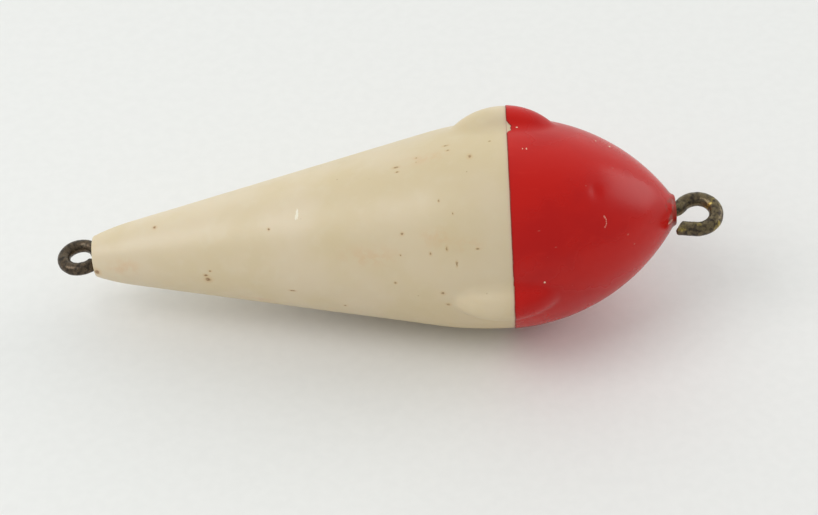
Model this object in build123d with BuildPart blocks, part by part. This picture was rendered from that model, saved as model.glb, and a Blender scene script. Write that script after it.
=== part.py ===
"""Weighted fishing float: two moulded half shells cemented together at the float's widest
circle, a red coat on the nose, a wire line eye in each end and a lead weight in the nose.

Millimetres, +Z up. The float is drawn lying on a table (z = 0), with its nose towards +X and
tipped up by nose_up, and the origin is on the table under the middle of its box.

Along the float, u is the distance from its widest circle, positive towards the nose, and r is
the distance from the float's own axis. Round it, an angle of 0 is straight down and a positive
angle turns towards -Y.
"""
import os
from math import acos, cos, degrees, radians, sin, sqrt, tan

from build123d import *

# Pose: where the middle of the widest circle is, and how far the nose is tipped up
middle = Vector(14.1, 0.92, 12.566)
nose_up = 5.0

# Outer form
belly_r = 12.45          # of the widest circle
belly_arc_r = 43.0       # tail side of the belly, struck from the widest circle's plane
cone_angle = 12.05       # half angle of the tail's straight cone
tail_length = 49.5       # widest circle to the tail's end face
tail_crown_length = 4.5  # last stretch of the tail, which rounds in from the cone
tail_end_r = 2.45
nose_arc_r = 23.7        # the nose is one arc, struck from the same plane
nose_length = 20.15      # widest circle to the neck's end face
neck_r = 1.65
neck_blend = 0.4

# Seam between the two mouldings, close to the widest circle and a little out of square
seam_ahead = 0.5         # where it crosses the axis
seam_lean = 2.0
seam_lean_angle = 223.0  # the way round in which it leans towards the nose

# Lugs: three ribs across the seam, each the rim of a ring that lies along the float
lug_angles = (-33.6, 84.8, 204.8)
lug_crest_r = 14.37      # crest to the float's axis
lug_back = 0.8           # how far the middle of each lug lies behind the seam
lug_arc_r = 8.57         # of the crest, seen from the side
lug_round_r = 2.3        # of the rib's own section
lug_blend = 1.5

# Moulding
wall = 1.4
tail_hollow_length = 43.0
nose_hollow_length = 15.0
hollow_corner = 0.8
lap_length = 2.4
lap_floor_gap = 0.15     # past the spigot's end, in the bottom of the socket
lap_r = 11.7             # outside of the nose shell's spigot
spigot_wall = 0.8
cement = 0.1             # thickness of the cement in the lap
coat = 0.1               # thickness of the paint

# Line eyes, bent from round wire. Ring radii are to the middle of the wire, distances out are
# from the widest circle, and a ring's offset is how far its middle lies off the shank's line.
eye_bend_r = 1.1
foot_length = 1.0
tail_eye_sizes = dict(wire_r=0.8, ring_r=2.0, ring_out=51.3, offset=0.0, foot_out=44.8)
tail_eye_angle = 88.8    # way the ring's plane faces, round the float
tail_eye_closing = 60.0  # turn past the shank's direction, to the cut end
nose_eye_sizes = dict(wire_r=0.88, ring_r=2.26, ring_out=22.64, offset=0.88, foot_out=13.2)
nose_eye_angle = 80.4
nose_eye_closing = 10.0
nose_eye_cut_end = 2.3   # straight end, laid against the neck

# Lead weight, cast round the nose eye's foot and seated in the end of the nose
weight_length = 3.0
weight_clearance = 0.12
weight_corner = 1.0

along = Vector(1, 0, 0).rotate(Axis.Y, -nose_up)
float_plane = Plane(origin=middle, x_dir=along, z_dir=(0, -1, 0))
float_axis = Axis(middle, along)
nose_arc_centre_r = belly_r - nose_arc_r
belly_arc_centre_r = belly_r - belly_arc_r


def plane_round(angle):
    """The plane along the float's axis whose y points out of it at this angle."""
    sideways = Vector(0, -1, 0).rotate(Axis((0, 0, 0), along), 180 - angle)
    return Plane(origin=middle, x_dir=along, z_dir=sideways)


def seam_u(angle, r):
    """Where the seam is, at this angle and distance from the axis."""
    return seam_ahead + r * tan(radians(seam_lean)) * cos(radians(angle - seam_lean_angle))


def nose_reach(arc_r, r):
    """The u at which a nose arc of this radius comes down to r."""
    return sqrt(arc_r**2 - (r - nose_arc_centre_r) ** 2)


def nose_height(arc_r, u):
    """The r of a nose arc of this radius, at u."""
    return nose_arc_centre_r + sqrt(arc_r**2 - u**2)


def nose_outline(skin):
    """Half section of the nose, grown outwards by skin."""
    belly = (0, belly_r + skin)
    arc_r = nose_arc_r + skin
    neck_start = (nose_reach(arc_r, neck_r + skin), neck_r + skin)
    with BuildSketch() as half:
        with BuildLine():
            Line((0, 0), belly)
            RadiusArc(belly, neck_start, arc_r)
            Polyline(neck_start, (nose_length, neck_r + skin), (nose_length, 0), (0, 0))
        make_face()
        fillet(half.vertices().sort_by_distance(neck_start)[0], neck_blend - skin)
    return half.sketch


def tail_side(skin):
    """The belly arc's radius, and where it meets the tail's cone, both grown outwards by skin."""
    arc_r = belly_arc_r + skin
    slope = radians(cone_angle)
    return arc_r, Vector(-arc_r * sin(slope), belly_arc_centre_r + arc_r * cos(slope))


def cone_point(cone_start, u):
    return Vector(u, cone_start.Y + (u - cone_start.X) * tan(radians(cone_angle)))


def tail_outline(skin):
    """Half section of the tail, grown outwards by skin: belly arc, straight cone and rounded end."""
    arc_r, cone_start = tail_side(skin)
    cone_end = cone_point(cone_start, tail_crown_length - tail_length)
    belly = (0, belly_r + skin)
    end_rim = (-tail_length, tail_end_r + skin)
    with BuildSketch() as half:
        with BuildLine():
            RadiusArc(cone_start, belly, arc_r)
            Line(cone_start, cone_end)
            TangentArc(cone_end, end_rim, tangent=cone_end - cone_start)
            Polyline(end_rim, (-tail_length, 0), (0, 0), belly)
        make_face()
    return half.sketch


def tail_hollow_outline():
    """Half section of the space inside the tail."""
    arc_r, cone_start = tail_side(-wall)
    cone_end = cone_point(cone_start, -tail_hollow_length)
    with BuildSketch() as half:
        with BuildLine():
            RadiusArc(cone_start, (0, belly_r - wall), arc_r)
            Polyline(cone_start, cone_end, (-tail_hollow_length, 0), (0, 0), (0, belly_r - wall))
        make_face()
        fillet(half.vertices().sort_by_distance(cone_end)[0], hollow_corner)
    return half.sketch


def nose_inside_outline(gap, start_u, corner):
    """Half section of what fits inside the nose, with this gap to its wall, from start_u on."""
    arc_r = nose_arc_r - wall - gap
    back = (start_u, nose_height(arc_r, start_u))
    front = (nose_hollow_length, nose_height(arc_r, nose_hollow_length))
    with BuildSketch() as half:
        with BuildLine():
            Line((start_u, 0), back)
            RadiusArc(back, front, arc_r)
            Polyline(front, (nose_hollow_length, 0), (start_u, 0))
        make_face()
        fillet(half.vertices().sort_by_distance(front)[0], corner)
    return half.sketch


def lug_ring(angle, skin):
    """The ring whose rim is one lug. Its section starts inside the body, clear of the crest."""
    side = plane_round(angle)
    ring_r = lug_arc_r - lug_round_r
    hub_u = seam_u(angle, lug_crest_r) - lug_back
    hub = side.from_local_coords(Vector(hub_u, lug_crest_r - lug_arc_r, 0))
    with BuildPart() as ring:
        with BuildSketch(Plane(hub - side.y_dir * ring_r, x_dir=side.y_dir, z_dir=along)):
            Circle(lug_round_r + skin)
        revolve(axis=Axis(hub, side.z_dir))
    return ring.part


def float_form(skin=0.0):
    """The whole float as one solid, lugs and all, grown outwards by skin."""
    with BuildPart() as form:
        with BuildSketch(float_plane):
            add(nose_outline(skin))
            add(tail_outline(skin))
        revolve(axis=float_axis)
        for angle in lug_angles:
            add(lug_ring(angle, skin))
        lug_edges = form.edges().filter_by(GeomType.BSPLINE)
        fillet(lug_edges, lug_blend - skin)
    return form.part


def wire_eye(plane, wire_r, ring_r, ring_out, offset, foot_out, closing, cut_end=0.0):
    """A wire line eye whose shank lies along the plane's x axis, which points out of the float.

    From the foot inside, the shank runs out, bends aside and goes round the ring, and the cut
    end comes back beside the shank.
    """
    bend = degrees(acos((offset + eye_bend_r) / (ring_r + eye_bend_r)))
    bend_out = ring_out - (ring_r + eye_bend_r) * sin(radians(bend))
    with BuildPart() as eye:
        with BuildLine(plane) as path:
            foot = Line((foot_out, eye_bend_r + foot_length), (foot_out, eye_bend_r))
            heel = JernArc(foot @ 1, foot % 1, eye_bend_r, 90)
            shank = Line(heel @ 1, plane.from_local_coords((bend_out, 0)))
            neck = JernArc(shank @ 1, shank % 1, eye_bend_r, -bend)
            ring = JernArc(neck @ 1, neck % 1, ring_r, bend + 180 + closing)
            if cut_end:
                Line(ring @ 1, ring @ 1 + (ring % 1) * cut_end)
        with BuildSketch(Plane(path.line @ 0, z_dir=path.line % 0)):
            Circle(wire_r)
        sweep(path=path.line)
    return eye.part


lean_line = Axis((0, 0, 0), plane_round(seam_lean_angle).z_dir)
seam_plane = Plane(middle + along * seam_ahead, z_dir=along.rotate(lean_line, -seam_lean))

os.makedirs("parts", exist_ok=True)

# Tail line eye: its ring is sunk a quarter of the way into the tail's end
with BuildPart() as tail_eye:
    side = plane_round(tail_eye_angle)
    outwards = Plane(middle, x_dir=-along, z_dir=-side.z_dir)
    add(wire_eye(outwards, closing=tail_eye_closing, **tail_eye_sizes))
tail_eye.part.label = "tail_eye"
export_step(tail_eye.part, "parts/tail_eye.step")

# Nose line eye: its ring stands clear of the neck, with the cut end laid against it
with BuildPart() as nose_eye:
    outwards = plane_round(nose_eye_angle)
    add(wire_eye(outwards, closing=nose_eye_closing, cut_end=nose_eye_cut_end, **nose_eye_sizes))
nose_eye.part.label = "nose_eye"
export_step(nose_eye.part, "parts/nose_eye.step")

# Tail shell: hollow cone with a socket in its mouth, moulded round the tail eye
with BuildPart() as tail_shell:
    add(float_form())
    split(bisect_by=seam_plane, keep=Keep.BOTTOM)
    with BuildSketch(float_plane):
        add(tail_hollow_outline())
    revolve(axis=float_axis, mode=Mode.SUBTRACT)
    with BuildSketch(seam_plane):
        Circle(lap_r + cement)
    extrude(amount=-(lap_length + lap_floor_gap), mode=Mode.SUBTRACT)
    add(tail_eye.part, mode=Mode.SUBTRACT)
tail_shell.part.label = "tail_shell"
export_step(tail_shell.part, "parts/tail_shell.step")

# Nose shell: dome with a spigot that enters the tail's socket, moulded round the nose eye
with BuildPart() as nose_shell:
    add(float_form())
    split(bisect_by=seam_plane, keep=Keep.TOP)
    with BuildSketch(seam_plane):
        Circle(lap_r)
    extrude(amount=-lap_length)
    with BuildSketch(float_plane):
        add(nose_inside_outline(0, -1, hollow_corner))
    revolve(axis=float_axis, mode=Mode.SUBTRACT)
    with BuildSketch(seam_plane):
        Circle(lap_r - spigot_wall)
    extrude(amount=-lap_length, mode=Mode.SUBTRACT)
    add(nose_eye.part, mode=Mode.SUBTRACT)
nose_shell.part.label = "nose_shell"
export_step(nose_shell.part, "parts/nose_shell.step")

# Red coat: paint over the whole outside of the nose shell
with BuildPart() as red_coat:
    add(float_form(coat))
    split(bisect_by=seam_plane, keep=Keep.TOP)
    add(float_form(), mode=Mode.SUBTRACT)
red_coat.part.label = "red_coat"
export_step(red_coat.part, "parts/red_coat.step")

# Seam cement: the film between the nose's spigot and the tail's socket
with BuildPart() as seam_cement:
    with BuildSketch(seam_plane):
        Circle(lap_r + cement)
        Circle(lap_r, mode=Mode.SUBTRACT)
    extrude(amount=-lap_length)
seam_cement.part.label = "seam_cement"
export_step(seam_cement.part, "parts/seam_cement.step")

# Nose weight
with BuildPart() as nose_weight:
    with BuildSketch(float_plane):
        add(nose_inside_outline(weight_clearance, nose_hollow_length - weight_length, weight_corner))
    revolve(axis=float_axis)
    add(nose_eye.part, mode=Mode.SUBTRACT)
nose_weight.part.label = "nose_weight"
export_step(nose_weight.part, "parts/nose_weight.step")
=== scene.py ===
"""Looks of the weighted fishing float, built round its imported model.

Sizes are in millimetres and angles in degrees, until a mesh is made in metres. Along the float,
u is the distance from its widest circle, positive towards the nose, and r is the distance from
the float's own axis. Round it, an angle of 0 is straight down and a positive angle turns
towards -Y.
"""

import bpy
import numpy as np
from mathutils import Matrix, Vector, noise


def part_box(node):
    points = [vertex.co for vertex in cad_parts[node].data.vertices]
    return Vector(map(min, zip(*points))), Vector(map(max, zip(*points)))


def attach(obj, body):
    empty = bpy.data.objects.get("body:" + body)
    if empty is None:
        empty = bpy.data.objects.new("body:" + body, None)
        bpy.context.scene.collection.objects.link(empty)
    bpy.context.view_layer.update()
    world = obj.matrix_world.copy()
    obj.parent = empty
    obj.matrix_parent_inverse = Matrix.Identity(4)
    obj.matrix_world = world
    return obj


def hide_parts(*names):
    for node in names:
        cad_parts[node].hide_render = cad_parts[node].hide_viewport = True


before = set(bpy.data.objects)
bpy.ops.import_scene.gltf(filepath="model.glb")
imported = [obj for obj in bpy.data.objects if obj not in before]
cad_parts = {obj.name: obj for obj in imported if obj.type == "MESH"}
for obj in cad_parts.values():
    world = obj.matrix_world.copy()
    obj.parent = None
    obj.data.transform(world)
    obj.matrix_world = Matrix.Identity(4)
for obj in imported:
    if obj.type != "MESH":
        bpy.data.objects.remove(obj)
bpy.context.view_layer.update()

MM = 0.001
SEGMENTS = 360                          # round the float
ANGLES = np.arange(SEGMENTS) * 360 / SEGMENTS

# Outer form, as in the CAD model except for the neck's blend
NOSE_UP = 5.0
BELLY_R = 12.45
BELLY_ARC_R = 43.0
CONE_ANGLE = 12.05
TAIL_LENGTH = 49.5
TAIL_CROWN_LENGTH = 4.5
TAIL_END_R = 2.45
NOSE_ARC_R = 23.7
NOSE_LENGTH = 20.15
NECK_R = 1.65
NECK_BLEND = 1.2                        # softer than the CAD model's 0.4
LUG_ANGLES = (-33.6, 84.8, 204.8)
LUG_CREST_R = 14.37
LUG_BACK = 0.8                          # how far the middle of each lug lies behind the seam
LUG_ARC_R = 8.57
LUG_ROUND_R = 2.3
LUG_BLEND = 1.5
LUG_REACH = 9.0                         # no part of a lug is further along than this
LUG_SPREAD = 22.0                       # nor further round
SEAM_AHEAD = 0.5
SEAM_LEAN = 2.0
SEAM_LEAN_ANGLE = 223.0

# Moulding
WALL = 1.4
LAP_LENGTH = 2.4
LAP_R = 11.7
SPIGOT_WALL = 0.8
CEMENT = 0.1
COAT = 0.1
SOCKET_PLAY = 0.15                      # the socket is deeper than the spigot by this
TAIL_HOLLOW_LENGTH = 43.0
TAIL_HOLLOW_END_R = 2.3
NOSE_HOLLOW_LENGTH = 15.0
NOSE_HOLLOW_END_R = 4.9
CENTRE_R = 0.3                          # of the smallest ring on a flat end

# Wire eyes, as in the CAD model
EYE_BEND_R = 1.1
FOOT_LENGTH = 1.0
WIRE_SIDES = 32
WIRE_END_ROUND = 0.35                   # how far from its ends the wire starts to round in
TAIL_EYE = dict(wire_r=0.8, ring_r=2.0, ring_out=51.3, offset=0.0, foot_out=44.8,
                angle=88.8, closing=60.0, cut_end=0.0)
NOSE_EYE = dict(wire_r=0.88, ring_r=2.26, ring_out=22.64, offset=0.88, foot_out=13.2,
                angle=80.4, closing=10.0, cut_end=2.3)


# ---------------------------------------------------------------- the float's own directions

lean = np.radians(SEAM_LEAN)
tilt = np.radians(NOSE_UP)
ALONG = np.array([np.cos(tilt), 0.0, np.sin(tilt)])
DOWN = np.array([np.sin(tilt), 0.0, -np.cos(tilt)])
SIDE = np.array([0.0, -1.0, 0.0])


def round_direction(angle):
    """Unit vectors that point out of the float's axis at these angles."""
    angle = np.radians(angle)
    return np.multiply.outer(np.cos(angle), DOWN) + np.multiply.outer(np.sin(angle), SIDE)


def find_middle():
    """The middle of the widest circle, from the cement ring, which lies behind the seam."""
    low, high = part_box("seam_cement")
    ring = np.array((low + high) / 2) / MM
    seam_normal = np.cos(lean) * ALONG - np.sin(lean) * round_direction(SEAM_LEAN_ANGLE)
    return ring + seam_normal * LAP_LENGTH / 2 - ALONG * SEAM_AHEAD


MIDDLE = find_middle()


def placed(u, r, angle):
    """These places on the float, in the frame and in metres."""
    u, r, angle = np.broadcast_arrays(u, r, angle)
    return MM * (MIDDLE + u[..., None] * ALONG + r[..., None] * round_direction(angle))


# ---------------------------------------------------------------- outer form

NOSE_CENTRE_R = BELLY_R - NOSE_ARC_R
BELLY_CENTRE_R = BELLY_R - BELLY_ARC_R


def root(x):
    """Square root, 0 below 0."""
    return np.sqrt(np.maximum(x, 0))


def tail_radius(u):
    """Outline of the tail: belly arc, straight cone, and the crown that rounds in at its end."""
    slope = np.radians(CONE_ANGLE)
    cone_u = -BELLY_ARC_R * np.sin(slope)
    cone_r = BELLY_CENTRE_R + BELLY_ARC_R * np.cos(slope)
    crown_u = TAIL_CROWN_LENGTH - TAIL_LENGTH
    crown_r = cone_r + (crown_u - cone_u) * np.tan(slope)
    drop = crown_r - TAIL_END_R
    chord = np.hypot(TAIL_CROWN_LENGTH, drop)
    crown_arc_r = chord / 2 / np.sin(np.arctan2(drop, TAIL_CROWN_LENGTH) - slope)
    centre_u = crown_u + crown_arc_r * np.sin(slope)
    centre_r = crown_r - crown_arc_r * np.cos(slope)
    belly = BELLY_CENTRE_R + root(BELLY_ARC_R**2 - u**2)
    cone = cone_r + (u - cone_u) * np.tan(slope)
    crown = centre_r + root(crown_arc_r**2 - (u - centre_u) ** 2)
    return np.where(u > cone_u, belly, np.where(u > crown_u, cone, crown))


def nose_radius(u):
    """Outline of the nose: one arc, blended into the neck."""
    reach = NOSE_ARC_R + NECK_BLEND
    blend_u = root(reach**2 - (NECK_R + NECK_BLEND - NOSE_CENTRE_R) ** 2)
    arc = NOSE_CENTRE_R + root(NOSE_ARC_R**2 - u**2)
    blend = NECK_R + NECK_BLEND - root(NECK_BLEND**2 - (u - blend_u) ** 2)
    return np.where(u < blend_u * NOSE_ARC_R / reach, arc, blend)


def body_radius(u):
    return np.where(u > 0, nose_radius(u), tail_radius(u))


def seam_u(angle, r):
    """Where the leaning seam is, at this angle and distance from the axis."""
    return SEAM_AHEAD + r * np.tan(lean) * np.cos(np.radians(angle - SEAM_LEAN_ANGLE))


def form_distance(u, r, turn, hub_u):
    """Distance outside the belly and one lug, whose join is filled by a ball of LUG_BLEND.

    turn is the angle from the lug, and hub_u where the middle of its ring is.
    """
    out, aside = r * np.cos(turn), r * np.sin(turn)
    centre_r = np.where(u > 0, NOSE_CENTRE_R, BELLY_CENTRE_R)
    arc_r = np.where(u > 0, NOSE_ARC_R, BELLY_ARC_R)
    reach = np.hypot(u, r - centre_r)
    body = reach - arc_r
    body_way = (u / reach, (r - centre_r) / reach * np.cos(turn), (r - centre_r) / reach * np.sin(turn))

    hub_out = LUG_CREST_R - LUG_ARC_R
    spoke = np.hypot(u - hub_u, out - hub_out)
    across = spoke - (LUG_ARC_R - LUG_ROUND_R)
    section = np.hypot(across, aside)
    lug = section - LUG_ROUND_R
    share = across / section
    lug_way = (share * (u - hub_u) / spoke, share * (out - hub_out) / spoke, aside / section)

    likeness = np.clip(sum(a * b for a, b in zip(body_way, lug_way)), -0.98, 0.98)
    to_body, to_lug = LUG_BLEND - body, LUG_BLEND - lug
    body_step = (to_body - likeness * to_lug) / (1 - likeness**2)
    lug_step = (to_lug - likeness * to_body) / (1 - likeness**2)
    ball = np.sqrt(np.maximum(body_step**2 + lug_step**2 + 2 * body_step * lug_step * likeness, 0))
    in_blend = (body_step > 0) & (lug_step > 0)
    return np.where(in_blend, LUG_BLEND - ball, np.minimum(body, lug))


def form_radius(u, angle):
    """Distance from the axis to the float's surface, lugs and all."""
    u, angle = np.broadcast_arrays(np.asarray(u, float), angle)
    radius = body_radius(u)
    for lug_angle in LUG_ANGLES:
        hub_u = seam_u(lug_angle, LUG_CREST_R) - LUG_BACK
        turn = (angle - lug_angle + 180) % 360 - 180
        near = (np.abs(turn) < LUG_SPREAD) & (np.abs(u - hub_u) < LUG_REACH)
        r = np.full(near.sum(), LUG_CREST_R + 1.0)
        for _ in range(60):
            r -= form_distance(u[near], r, np.radians(turn[near]), hub_u)
        radius[near] = r
    return radius


SEAM = seam_u(ANGLES, form_radius(seam_u(ANGLES, BELLY_R), ANGLES))


# ---------------------------------------------------------------- unevenness and damage

def noise_at(points, size, seed=0.0):
    """Smooth noise from -1 to 1 at these points, with bumps of about this size."""
    flat = points.reshape(-1, 3) / size + seed
    values = np.fromiter((noise.noise(p) for p in flat), float, len(flat))
    return values.reshape(points.shape[:-1])


DIMPLE_U = 10.4
DIMPLE_ANGLE = 148.5
DIMPLE_DEPTH = 0.16
DIMPLE_SPREAD_ALONG = 0.6
DIMPLE_SPREAD_ROUND = 0.9
ROUGH_ANGLE = 96                        # where the paint's edge is most ragged
ROUGH_SPREAD = 14
CHIP_ANGLE = 192.8


def relief(u, r, angle):
    """How far the moulding stands out from its true form: a faint waviness and one dimple."""
    points = placed(u, r, angle) / MM
    waves = 0.012 * noise_at(points, 7.0) + 0.006 * noise_at(points, 2.2, 40.0)
    along = (u - DIMPLE_U) / DIMPLE_SPREAD_ALONG
    around = np.radians(angle - DIMPLE_ANGLE) * r / DIMPLE_SPREAD_ROUND
    return waves - DIMPLE_DEPTH * np.exp(-(along**2) - around**2)


def eased(distance, size):
    """How far an edge rounded to this size has dropped, at this distance from it."""
    inside = np.clip(size - distance, 0, size)
    return size - root(size**2 - inside**2)


def paint_edge():
    """How far the paint starts past the seam: a slightly ragged line, with one chip by a lug."""
    points = placed(SEAM, BELLY_R, ANGLES) / MM
    ragged = 0.02 + 0.02 * noise_at(points, 1.6, 7.0) + 0.02 * noise_at(points, 0.5, 3.0)
    rough_stretch = np.exp(-(((ANGLES - ROUGH_ANGLE) / ROUGH_SPREAD) ** 2))
    ragged += rough_stretch * (0.03 + 0.08 * noise_at(points, 0.45, 11.0))
    chip = np.clip(1.9 - np.abs(ANGLES - CHIP_ANGLE) / 1.6, 0, 1)
    ragged += chip * (0.5 + 0.25 * noise_at(points, 0.35, 21.0))
    return np.maximum(ragged, 0.01)


# ---------------------------------------------------------------- meshes

def add_piece(name, vertices, faces, node, material):
    """A smooth mesh that stands for a CAD node and rides on the float's one body."""
    mesh = bpy.data.meshes.new(name)
    mesh.from_pydata(vertices, [], faces)
    mesh.validate()
    mesh.shade_smooth()
    mesh.set_sharp_from_angle(angle=np.radians(40))
    mesh.materials.append(material)
    piece = bpy.data.objects.new(name, mesh)
    bpy.context.scene.collection.objects.link(piece)
    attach(piece, "root")
    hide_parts(node)
    return piece


def skin_faces(rings, sides, closed):
    """Quads between rings of this many points, and from the last ring to the first if closed."""
    steps = np.arange(rings if closed else rings - 1)[:, None]
    side = np.arange(sides)[None, :]
    here = steps * sides
    ahead = (steps + 1) % rings * sides
    right = (side + 1) % sides
    quads = np.stack([here + side, ahead + side, ahead + right, here + right], axis=-1)
    return quads.reshape(-1, 4).tolist()


def ring_mesh(rings, closed):
    """Vertices and faces of a skin over rings of points. If it isn't closed, each end has a cap."""
    rings = np.array(rings)
    count, sides = rings.shape[:2]
    vertices = rings.reshape(-1, 3)
    faces = skin_faces(count, sides, closed)
    if not closed:
        first, last = rings[0].mean(0), rings[-1].mean(0)
        pole = len(vertices)
        vertices = np.vstack([vertices, first, last])
        for i in range(sides):
            j = (i + 1) % sides
            faces.append((pole, i, j))
            faces.append((pole + 1, pole - sides + j, pole - sides + i))
    return vertices.tolist(), faces


def store(piece, name, values):
    """Keeps one number for each vertex, for the material to read. Cap points get 0."""
    padded = np.zeros(len(piece.data.vertices), np.float32)
    padded[:values.size] = values.ravel()
    piece.data.attributes.new(name, "FLOAT", "POINT").data.foreach_set("value", padded)


def stations(*stretches):
    """Distances along the float, from stretches of (start, end, about this step)."""
    parts = []
    for start, end, step in stretches:
        count = max(2, int(round(abs(end - start) / step)) + 1)
        parts.append(np.linspace(start, end, count)[:-1])
    parts.append([stretches[-1][1]])
    return np.concatenate(parts)


def follow_seam(u, edge, fade=7.0):
    """u at every angle, moved so that u = 0 lies on the edge, less and less further from it."""
    u = np.asarray(u, float)[:, None]
    share = np.clip(1 - np.abs(u) / fade, 0, 1)
    return u + edge * share * share * (3 - 2 * share)


def outer_rings(u, edge, ease, skin, end_u, end_ease):
    """u and r of rings over the outside, with an eased edge at the seam and one at the end."""
    at = follow_seam(u, edge)
    around = np.broadcast_to(ANGLES, at.shape)
    form = form_radius(at, around)
    r = form + skin + relief(at, form, around)
    r -= eased(np.abs(np.asarray(u))[:, None], ease) + eased(np.abs(end_u - at), end_ease)
    return at, r


def inner_rings(profile):
    """u and r of rings through each (u, r, leans). The ones that lean follow the seam."""
    u = np.array([u + (seam_u(ANGLES, r) - SEAM_AHEAD if leans else 0 * ANGLES)
                  for u, r, leans in profile])
    r = np.array([r + 0 * ANGLES for _, r, _ in profile])
    return u, r


TAIL_STATIONS = stations((-49.5, -49.45, 0.025), (-49.45, -49.2, 0.05), (-49.2, -12, 0.6),
                         (-12, -2, 0.22), (-2, -0.4, 0.12), (-0.4, -0.1, 0.05), (-0.1, 0, 0.02))
NOSE_STATIONS = stations((0, 0.1, 0.02), (0.1, 1.5, 0.1), (1.5, 19, 0.32), (19, 20.05, 0.1),
                         (20.05, 20.15, 0.03))


def end_rings(u):
    """Two small rings on a flat end at this u, between its middle and its rim."""
    r = np.array([[CENTRE_R], [1.2]]) + 0 * ANGLES
    return u + 0 * r, r


def shell(name, node, material, end_u, outside, inside):
    """A hollow half of the float: its flat end, outside, rim and inside, in that order."""
    u, r = (np.vstack(rings) for rings in zip(end_rings(end_u), outside, inner_rings(inside)))
    vertices, faces = ring_mesh(placed(u, r, ANGLES), closed=False)
    piece = add_piece(name, vertices, faces, node, material)
    store(piece, "from_seam", u - SEAM)


def tail_shell(material):
    """Ivory cone: outside, rim with its socket, and the hollow behind it."""
    outside = outer_rings(TAIL_STATIONS, SEAM, 0.03, 0.0, -TAIL_LENGTH, 0.08)
    socket_end = SEAM_AHEAD - LAP_LENGTH - SOCKET_PLAY
    inside = [(SEAM_AHEAD, LAP_R + CEMENT, True), (socket_end, LAP_R + CEMENT, True),
              (socket_end, BELLY_R - WALL - 0.1, True)]
    inside += [(u, float(tail_radius(np.array(u))) - WALL, False) for u in (-9.0, -30.0, -42.4)]
    inside += [(-TAIL_HOLLOW_LENGTH, r, False) for r in (TAIL_HOLLOW_END_R, CENTRE_R)]
    shell("tail_shell_moulding", "tail_shell", material, -TAIL_LENGTH, outside, inside)


def nose_shell(material):
    """Ivory dome under the paint, with the spigot that goes into the tail."""
    outside = outer_rings(NOSE_STATIONS[::-1], SEAM, 0.02, 0.0, NOSE_LENGTH, 0.1)
    spigot_end = SEAM_AHEAD - LAP_LENGTH
    bore = LAP_R - SPIGOT_WALL
    inside = [(SEAM_AHEAD, LAP_R, True), (spigot_end, LAP_R, True), (spigot_end, bore, True),
              (SEAM_AHEAD, bore, True)]
    inside += [(u, float(nose_radius(np.array(u))) - WALL, False) for u in (3.0, 6.0, 9.0, 12.0, 14.6)]
    inside += [(NOSE_HOLLOW_LENGTH, r, False) for r in (NOSE_HOLLOW_END_R, CENTRE_R)]
    shell("nose_shell_moulding", "nose_shell", material, NOSE_LENGTH, outside, inside)


def red_coat(material):
    """Paint over the nose: a skin with real thickness, ragged at the seam and worn at the neck."""
    edge = SEAM + paint_edge()
    out_u, out_r = outer_rings(NOSE_STATIONS, edge, 0.06, COAT, NOSE_LENGTH, 0.12)
    in_u, in_r = outer_rings(NOSE_STATIONS[::-2], edge, 0.0, 0.012, NOSE_LENGTH, 0.0)
    u = np.vstack([out_u, in_u])
    r = np.vstack([out_r, np.minimum(in_r, form_radius(in_u, ANGLES) + 0.02)])
    vertices, faces = ring_mesh(placed(u, r, ANGLES), closed=True)
    piece = add_piece("red_paint_coat", vertices, faces, "red_coat", material)
    store(piece, "from_edge", u - edge)


# ---------------------------------------------------------------- wire eyes

def walk(position, heading, moves, step=0.1):
    """Points along moves of (length, turn): runs and arcs, each turning evenly to the left."""
    points = [position]
    for length, turn in moves:
        count = max(1, int(round(length / step)))
        for _ in range(count):
            heading *= np.exp(1j * np.radians(turn / count / 2))
            position += heading * length / count
            heading *= np.exp(1j * np.radians(turn / count / 2))
            points.append(position)
    return np.array(points)


def eye_path(ring_r, ring_out, offset, foot_out, closing, cut_end):
    """The wire's middle line. Real is the distance out of the float, imaginary the one aside."""
    bend = np.degrees(np.arccos((offset + EYE_BEND_R) / (ring_r + EYE_BEND_R)))
    bend_out = ring_out - (ring_r + EYE_BEND_R) * np.sin(np.radians(bend))
    round_ring = bend + 180 + closing
    moves = [(FOOT_LENGTH, 0), (EYE_BEND_R * np.pi / 2, 90),
             (bend_out - foot_out - EYE_BEND_R, 0), (EYE_BEND_R * np.radians(bend), -bend),
             (ring_r * np.radians(round_ring), round_ring), (cut_end, 0)]
    start = complex(foot_out, EYE_BEND_R + FOOT_LENGTH)
    return walk(start, -1j, moves)


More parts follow.
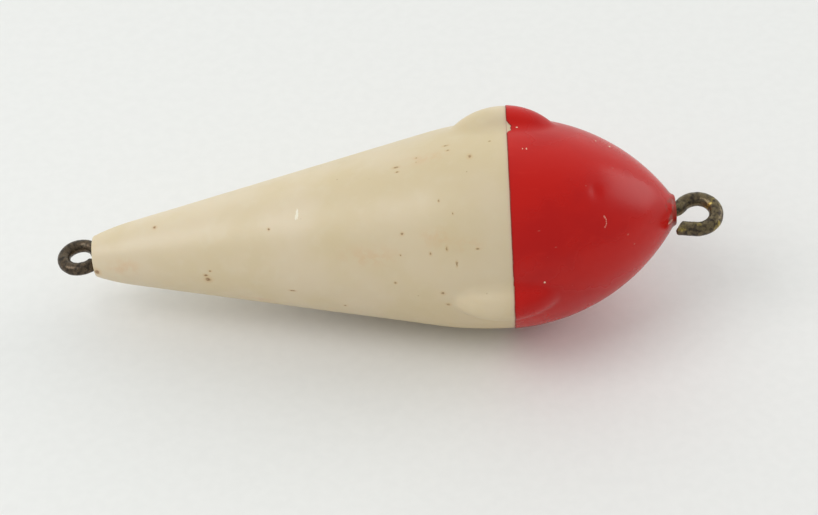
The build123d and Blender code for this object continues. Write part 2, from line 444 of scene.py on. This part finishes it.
def wire_eye(name, slot, node, material, outwards, wire_r, angle, bevel=0.0, **path):
    """A bent wire, pitted, with rounded ends. bevel is how far its cut end slants back."""
    line = eye_path(**path)
    heading = np.gradient(line)
    heading /= np.abs(heading)
    aside = heading * 1j
    out_way, up_way = outwards * ALONG, round_direction(angle)
    flat_way = np.cross(out_way, up_way)

    def spread(values):
        """Complex numbers of the ring's plane as vectors in the frame."""
        return np.multiply.outer(values.real, out_way) + np.multiply.outer(values.imag, up_way)

    run = np.concatenate([[0], np.cumsum(np.abs(np.diff(line)))])
    to_end = np.minimum(run, run[-1] - run)
    end_round = root(1 - np.clip(1 - to_end / WIRE_END_ROUND, 0, 1) ** 2) * 0.45 + 0.55
    turns = np.arange(WIRE_SIDES) * 2 * np.pi / WIRE_SIDES
    circle = (np.cos(turns)[None, :, None] * spread(aside)[:, None, :]
              + np.sin(turns)[None, :, None] * flat_way)
    middle = MIDDLE + spread(line)
    slant = run[:, None] - run[-1] + bevel * (1 + np.cos(turns)) / 2
    middle = middle[:, None, :] - np.maximum(slant, 0)[..., None] * spread(heading)[:, None, :]
    surface = middle + wire_r * circle
    pits = 0.035 * noise_at(surface, 0.9, 5.0) + 0.018 * noise_at(surface, 0.35, 9.0)
    reach = (wire_r - 0.03 + pits) * end_round[:, None]
    vertices, faces = ring_mesh(MM * (middle + reach[..., None] * circle), closed=False)
    add_piece(name, vertices, faces, node, material)


# ---------------------------------------------------------------- materials

def colour(red, green, blue):
    """A colour given as it looks on a screen, from 0 to 255, in the linear numbers nodes take."""
    parts = np.array([red, green, blue]) / 255
    linear = np.where(parts < 0.04045, parts / 12.92, ((parts + 0.055) / 1.055) ** 2.4)
    return (*linear, 1.0)


class Finish:
    """A procedural material being made, with short names for its nodes."""

    def __init__(self, name):
        self.material = bpy.data.materials.new(name)
        self.material.use_nodes = True
        self.tree = self.material.node_tree
        self.tree.nodes.clear()
        place = self.node("ShaderNodeTexCoord").outputs["Object"]
        self.mm = self.vector("SCALE", place, scale=1 / MM)

    def node(self, kind, settings=None, inputs=None):
        made = self.tree.nodes.new(kind)
        for name, value in (settings or {}).items():
            setattr(made, name, value)
        for name, value in (inputs or {}).items():
            if isinstance(value, bpy.types.NodeSocket):
                self.tree.links.new(value, made.inputs[name])
            else:
                made.inputs[name].default_value = value
        return made

    def math(self, operation, first, second=0.0, third=0.0):
        settings = {"operation": operation}
        return self.node("ShaderNodeMath", settings, {0: first, 1: second, 2: third}).outputs[0]

    def vector(self, operation, first, second=(0, 0, 0), scale=1.0):
        settings = {"operation": operation}
        made = self.node("ShaderNodeVectorMath", settings, {0: first, 1: second, 3: scale})
        return made.outputs["Value" if operation in ("DOT_PRODUCT", "LENGTH") else "Vector"]

    def attribute(self, name):
        return self.node("ShaderNodeAttribute", {"attribute_name": name}).outputs["Fac"]

    def grain(self, size, detail=2.0, stretch=(1, 1, 1), shift=0.0):
        """Noise from 0 to 1 with bumps of about this size."""
        place = self.vector("MULTIPLY_ADD", self.mm, stretch)
        self.tree.nodes[-1].inputs[2].default_value = (shift, shift, shift)
        inputs = {"Vector": place, "Scale": 1 / size, "Detail": detail}
        return self.node("ShaderNodeTexNoise", inputs=inputs).outputs[0]

    def fade(self, value, start, end, low=0.0, high=1.0):
        """Goes smoothly from low to high as value goes from start to end."""
        inputs = {"Value": value, "From Min": start, "From Max": end, "To Min": low, "To Max": high}
        return self.node("ShaderNodeMapRange", {"interpolation_type": "SMOOTHSTEP"}, inputs).outputs[0]

    def mix(self, share, first, second):
        made = self.node("ShaderNodeMix", {"data_type": "RGBA"}, {0: share, 6: first, 7: second})
        return made.outputs[2]

    def places(self, wobble=0.0):
        """A vector of u and the angle round the float, from 0 to 360, at each point."""
        from_middle = self.vector("SUBTRACT", self.mm, tuple(MIDDLE))
        u = self.vector("DOT_PRODUCT", from_middle, tuple(ALONG))
        down = self.vector("DOT_PRODUCT", from_middle, tuple(-DOWN))
        side = self.vector("DOT_PRODUCT", from_middle, tuple(-SIDE))
        turn = self.math("MULTIPLY_ADD", self.math("ARCTAN2", side, down), np.degrees(1), 180.0)
        shake = self.math("MULTIPLY", self.math("SUBTRACT", self.grain(0.25), 0.5), wobble)
        u = self.math("ADD", u, shake)
        return self.node("ShaderNodeCombineXYZ", inputs={"X": u, "Y": turn}).outputs[0]

    def marks(self, places, marks, grow=1.0, soft=0.35):
        """1 inside these marks, 0 outside. Each is (u, angle, half its length, half its width)."""
        nearest = None
        for u, angle, length, width in marks:
            spread = np.degrees(width / float(body_radius(np.array(u))))
            away = self.vector("SUBTRACT", places, (u, angle, 0))
            away = self.vector("MULTIPLY", away, (1 / length, 1 / spread, 0))
            away = self.vector("LENGTH", away)
            nearest = away if nearest is None else self.math("MINIMUM", nearest, away)
        return self.fade(nearest, grow, grow * (1.0 - soft))

    def finish(self, base, roughness, height, depth, extra=None):
        """Closes the material. depth is how deep the height goes, in millimetres."""
        bump = self.node("ShaderNodeBump", inputs={"Height": height, "Distance": depth * MM})
        inputs = {"Base Color": base, "Roughness": roughness, "Normal": bump.outputs[0]}
        shader = self.node("ShaderNodeBsdfPrincipled", inputs={**inputs, **(extra or {})})
        output = self.node("ShaderNodeOutputMaterial")
        self.tree.links.new(shader.outputs[0], output.inputs["Surface"])
        return self.material


# Brown marks in the ivory, the ones that show most: (u, angle, half length, half width)
BROWN_MARKS = [(-49.1, 86, 0.3, 0.35), (-41.5, 171, 0.18, 0.18), (-35.5, 92, 0.3, 0.28),
               (-35.7, 98, 0.2, 0.14), (-35.1, 104, 0.14, 0.1), (-27.6, 144, 0.13, 0.13),
               (-25.6, 85, 0.3, 0.1), (-28.0, 52, 0.3, 0.15), (-19.6, 71, 0.16, 0.13),
               (-12.2, 176, 0.3, 0.13), (-12.0, 131, 0.16, 0.14), (-12.4, 118, 0.1, 0.1),
               (-12.1, 172, 0.2, 0.1), (-6.1, 180.5, 0.18, 0.1), (-1.2, 183, 0.12, 0.1),
               (-13.3, 99, 0.14, 0.14), (-8.9, 118.5, 0.12, 0.16), (-6.0, 112, 0.1, 0.3),
               (-9.8, 180, 0.12, 0.1), (-7.9, 93, 0.2, 0.18), (-7.4, 84, 0.22, 0.16),
               (-7.0, 121, 0.12, 0.22), (-6.3, 185, 0.28, 0.12), (-6.0, 140, 0.1, 0.12),
               (-7.5, 148, 0.08, 0.14), (-3.6, 173, 0.2, 0.24), (-3.5, 120, 0.22, 0.1),
               (-1.8, 78, 0.3, 0.12)]
PALE_MARKS = [(-24.1, 154, 0.16, 0.8), (-24.3, 151, 0.1, 0.4)]
STAINS = [(-8.0, 128, 3.0, 1.8), (-4.6, 122, 2.4, 1.3), (-45.6, 106, 3.0, 1.6),
          (-30.0, 60, 3.0, 1.5), (-9.0, 178, 4.5, 1.3), (-16.0, 118, 5.0, 2.0)]

# Nicks in the paint, down to the ivory
NICKS = [(3.0, 175, 0.1, 0.2), (2.5, 175, 0.06, 0.14), (2.1, 193, 0.14, 0.1),
         (11.2, 197, 0.12, 0.12), (12.8, 198, 0.13, 0.22), (3.85, 97, 0.16, 0.16),
         (19.3, 101, 0.36, 0.2)]
FAINT_NICKS = [(9.4, 152, 0.08, 0.08), (13.9, 115, 0.17, 0.15), (14.6, 104, 0.13, 0.13),
               (5.4, 117, 0.22, 0.07), (3.6, 127, 0.24, 0.07), (12.8, 170, 0.13, 0.1),
               (4.4, 112, 0.06, 0.06)]


def scratch_marks():
    """A comma-shaped scratch on the nose, as short marks along its curve."""
    turns = np.linspace(-60, 60, 7)
    return [(11.0 + 0.42 * float(np.cos(np.radians(t))), 128.2 + 4.2 * float(np.sin(np.radians(t))),
             0.1, 0.16) for t in turns]


def ivory_plastic():
    """Old ivory moulding: yellowed in clouds, stained near the seam, peppered with brown specks."""
    f = Finish("ivory_plastic_aged")
    places = f.places(wobble=0.3)
    clouds = f.grain(9.0, detail=3)
    fine_clouds = f.grain(1.6, detail=3, shift=31.0)
    base = f.mix(f.fade(clouds, 0.36, 0.68), colour(219, 201, 172), colour(214, 195, 159))
    base = f.mix(f.fade(fine_clouds, 0.5, 0.75, 0, 0.25), base, colour(222, 208, 182))

    stain = f.math("MULTIPLY", f.marks(places, STAINS, soft=0.9),
                   f.fade(f.grain(1.1, 4, shift=8), 0.36, 0.62))
    base = f.mix(f.math("MULTIPLY", stain, 0.45), base, colour(216, 178, 138))

    cells = f.node("ShaderNodeTexVoronoi", inputs={"Vector": f.mm, "Scale": 1 / 1.9})
    chosen = f.fade(f.node("ShaderNodeSeparateColor", inputs={0: cells.outputs["Color"]}).outputs[0],
                    0.62, 0.66)
    speck = f.math("MULTIPLY", f.fade(cells.outputs["Distance"], 0.062, 0.03), chosen)
    base = f.mix(f.math("MULTIPLY", speck, 0.45), base, colour(158, 118, 74))

    brown = f.marks(places, BROWN_MARKS, grow=1.3, soft=0.7)
    halo = f.marks(places, BROWN_MARKS, grow=2.8, soft=0.8)
    base = f.mix(f.math("MULTIPLY", halo, 0.4), base, colour(206, 164, 108))
    base = f.mix(f.math("MULTIPLY", brown, f.fade(f.grain(0.2, 3, shift=3), 0.3, 0.55, 0.4, 0.9)),
                 base, colour(132, 92, 50))
    pale = f.marks(places, PALE_MARKS)
    base = f.mix(f.math("MULTIPLY", pale, 0.8), base, colour(242, 236, 218))

    seam = f.math("ABSOLUTE", f.attribute("from_seam"))
    pink = f.fade(seam, 0.5, 0.05, 0, 0.5)
    base = f.mix(f.math("MULTIPLY", pink, f.fade(f.grain(0.7, shift=14), 0.3, 0.6, 0.3, 1)),
                 base, colour(222, 184, 165))
    grime = f.fade(seam, 0.05, 0.0)
    base = f.mix(f.math("MULTIPLY", grime, 0.7), base, colour(150, 60, 42))

    u = f.node("ShaderNodeSeparateXYZ", inputs={0: places}).outputs["X"]
    base = f.mix(f.fade(u, -30.0, -8.0, 0, 0.22), base, colour(196, 174, 132))

    scuffs = f.grain(0.35, 3, stretch=(0.25, 1, 1.2), shift=19)
    roughness = f.math("ADD", f.fade(clouds, 0.3, 0.7, 0.36, 0.44), f.fade(scuffs, 0.55, 0.75, 0, 0.12))
    pits = f.math("SUBTRACT", f.math("MULTIPLY", f.grain(0.8, 4), 0.5), f.math("MULTIPLY", brown, 0.5))
    height = f.math("SUBTRACT", pits, f.math("MULTIPLY", speck, 0.3))
    extra = {"Subsurface Weight": 0.15, "Subsurface Radius": (1.0, 0.7, 0.4), "Subsurface Scale": 0.001}
    return f.finish(base, roughness, height, 0.03, extra)


def red_paint():
    """Glossy red paint with a soft orange peel, nicked to the ivory and worn at the neck."""
    f = Finish("red_paint_worn")
    places = f.places(wobble=0.22)
    clouds = f.grain(6.0, detail=3, shift=2)
    base = f.mix(f.fade(clouds, 0.35, 0.65), colour(192, 19, 10), colour(183, 13, 8))
    streaks = f.grain(0.9, 4, stretch=(0.3, 1, 1), shift=23)
    base = f.mix(f.fade(streaks, 0.6, 0.8, 0, 0.15), base, colour(214, 50, 40))

    dark_rim = f.fade(f.attribute("from_edge"), 0.22, 0.02, 0, 0.6)
    base = f.mix(dark_rim, base, colour(110, 16, 12))

    faint = f.marks(places, FAINT_NICKS, soft=0.8)
    base = f.mix(f.math("MULTIPLY", faint, 0.5), base, colour(214, 120, 104))
    scratch = f.marks(places, scratch_marks(), soft=0.7)
    base = f.mix(f.math("MULTIPLY", scratch, f.fade(f.grain(0.3, 2, shift=6), 0.3, 0.6, 0.45, 0.9)),
                 base, colour(226, 150, 134))
    nick = f.marks(places, NICKS, soft=0.5)
    base = f.mix(nick, base, colour(236, 206, 180))

    u = f.node("ShaderNodeSeparateXYZ", inputs={0: places}).outputs["X"]
    neck = f.fade(f.math("ADD", u, f.fade(f.grain(0.8, 4, shift=12), 0.25, 0.75, -0.9, 0.9)), 18.9, 19.9)
    base = f.mix(f.math("MULTIPLY", neck, 0.8), base, colour(142, 56, 44))

    bare = f.math("MAXIMUM", nick, f.math("MULTIPLY", scratch, 0.6))
    roughness = f.math("ADD", f.fade(clouds, 0.3, 0.7, 0.24, 0.31), f.math("MULTIPLY", bare, 0.25))
    peel = f.math("MULTIPLY", f.grain(0.9, 3, shift=17), 0.35)
    height = f.math("SUBTRACT", peel, f.math("MULTIPLY", f.math("MAXIMUM", bare, faint), 0.8))
    extra = {"Specular IOR Level": 0.24}
    return f.finish(base, roughness, height, 0.03, extra)


def old_brass(name, dark, middle, bright, bright_share):
    """Brass wire under brown tarnish, rubbed bright in patches."""
    f = Finish(name)
    patches = f.grain(1.3, 4, shift=5)
    mottle = f.grain(0.5, 4, shift=9)
    base = f.mix(f.fade(mottle, 0.3, 0.64), dark, middle)
    rubbed = f.math("MULTIPLY", f.fade(patches, 0.62 - bright_share, 0.78 - bright_share),
                    f.fade(mottle, 0.3, 0.6, 0.35, 1))
    base = f.mix(rubbed, base, bright)
    roughness = f.fade(mottle, 0.3, 0.7, 0.42, 0.26)
    metallic = f.fade(rubbed, 0.0, 0.8, 0.65, 0.9)
    height = f.math("ADD", mottle, f.math("MULTIPLY", patches, 0.6))
    return f.finish(base, roughness, height, 0.05, {"Metallic": metallic})


def lead():
    """Dull grey cast lead."""
    f = Finish("cast_lead")
    mottle = f.grain(0.7, 5)
    base = f.mix(f.fade(mottle, 0.3, 0.7), colour(88, 90, 94), colour(128, 130, 132))
    return f.finish(base, f.fade(mottle, 0.3, 0.7, 0.65, 0.45), mottle, 0.06, {"Metallic": 0.8})


def cement():
    """Amber cement, squeezed out in the lap."""
    f = Finish("amber_cement")
    mottle = f.grain(0.9, 4)
    base = f.mix(f.fade(mottle, 0.3, 0.7), colour(150, 112, 62), colour(184, 148, 92))
    return f.finish(base, f.fade(mottle, 0.3, 0.7, 0.3, 0.5), mottle, 0.03)


def pale_floor():
    """Matt, almost white floor."""
    f = Finish("pale_floor")
    grain = f.grain(1.4, 4)
    base = f.mix(f.fade(grain, 0.3, 0.7), colour(232, 230, 228), colour(234, 232, 230))
    return f.finish(base, 0.65, grain, 0.004)


# ---------------------------------------------------------------- the object

ivory = ivory_plastic()
tail_shell(ivory)
nose_shell(ivory)
red_coat(red_paint())
wire_eye("tail_eye_wire", "tail_wire", "tail_eye",
         old_brass("tail_wire_brass", colour(46, 38, 30), colour(92, 77, 60), colour(136, 130, 106), 0.02),
         outwards=-1, **TAIL_EYE)
wire_eye("nose_eye_wire", "nose_wire", "nose_eye",
         old_brass("nose_wire_brass", colour(52, 42, 34), colour(108, 94, 68), colour(178, 156, 84), 0.06),
         outwards=1, bevel=0.9, **NOSE_EYE)
for node, material in (("nose_weight", lead()), ("seam_cement", cement())):
    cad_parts[node].data.materials.clear()
    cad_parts[node].data.materials.append(material)


# ---------------------------------------------------------------- floor, light and camera

def add_floor(size):
    mesh = bpy.data.meshes.new("floor")
    half = size / 2
    mesh.from_pydata([(-half, -half, 0), (half, -half, 0), (half, half, 0), (-half, half, 0)],
                     [], [(0, 1, 2, 3)])
    mesh.materials.append(pale_floor())
    floor = bpy.data.objects.new("floor", mesh)
    bpy.context.scene.collection.objects.link(floor)


def add_light(name, direction, distance, width, height, power):
    """A soft light that shines on the float from this direction."""
    light = bpy.data.lights.new(name, "AREA")
    light.shape = "RECTANGLE"
    light.size = width
    light.size_y = height
    light.energy = power
    lamp = bpy.data.objects.new(name, light)
    lamp.location = Vector(direction).normalized() * distance
    lamp.rotation_euler = Vector(direction).to_track_quat("Z", "Y").to_euler()
    lamp.visible_camera = False
    bpy.context.scene.collection.objects.link(lamp)


def add_camera(azimuth, elevation, distance, lens, aim):
    """The camera, at this distance in metres from the point that it looks at."""
    azimuth, elevation = np.radians(azimuth), np.radians(elevation)
    back = Vector((np.sin(azimuth) * np.cos(elevation), -np.cos(azimuth) * np.cos(elevation),
                   np.sin(elevation)))
    camera = bpy.data.objects.new("camera", bpy.data.cameras.new("camera"))
    camera.data.lens = lens
    camera.location = aim + back * distance
    camera.rotation_euler = back.to_track_quat("Z", "Y").to_euler()
    bpy.context.scene.collection.objects.link(camera)
    bpy.context.scene.camera = camera


def set_world(bright, dim):
    """A tent round the float that grows from dim at the front to bright at the back and above."""
    world = bpy.data.worlds.new("studio")
    world.use_nodes = True
    tree = world.node_tree
    direction = tree.nodes.new("ShaderNodeTexCoord").outputs["Generated"]
    back = tree.nodes.new("ShaderNodeVectorMath")
    back.operation = "DOT_PRODUCT"
    back.inputs[1].default_value = (0, 0.944, 0.33)
    tent = tree.nodes.new("ShaderNodeMapRange")
    tent.interpolation_type = "SMOOTHSTEP"
    for name, value in (("From Min", 0.1), ("From Max", 1.1), ("To Min", dim), ("To Max", bright)):
        tent.inputs[name].default_value = value
    background = tree.nodes["Background"]
    background.inputs["Color"].default_value = (0.95, 1.0, 0.985, 1)
    tree.links.new(direction, back.inputs[0])
    tree.links.new(back.outputs["Value"], tent.inputs["Value"])
    tree.links.new(tent.outputs["Result"], background.inputs["Strength"])
    bpy.context.scene.world = world


add_floor(3.0)
set_world(bright=1.16, dim=0.55)
add_light("right_window", (0.89, 0.27, 0.37), 0.6, 0.36, 0.3, 0.9)
add_light("left_window", (-0.62, -0.2, 0.76), 0.6, 0.36, 0.36, 1.4)

VIEW_CENTRE = (-11.66, -3.58, -1.97)    # from the middle of the widest circle
aim = Vector(MIDDLE + VIEW_CENTRE) * MM
add_camera(azimuth=-1.33, elevation=43.1, distance=0.2498, lens=92.7, aim=aim)
bpy.context.scene.view_settings.view_transform = "Standard"
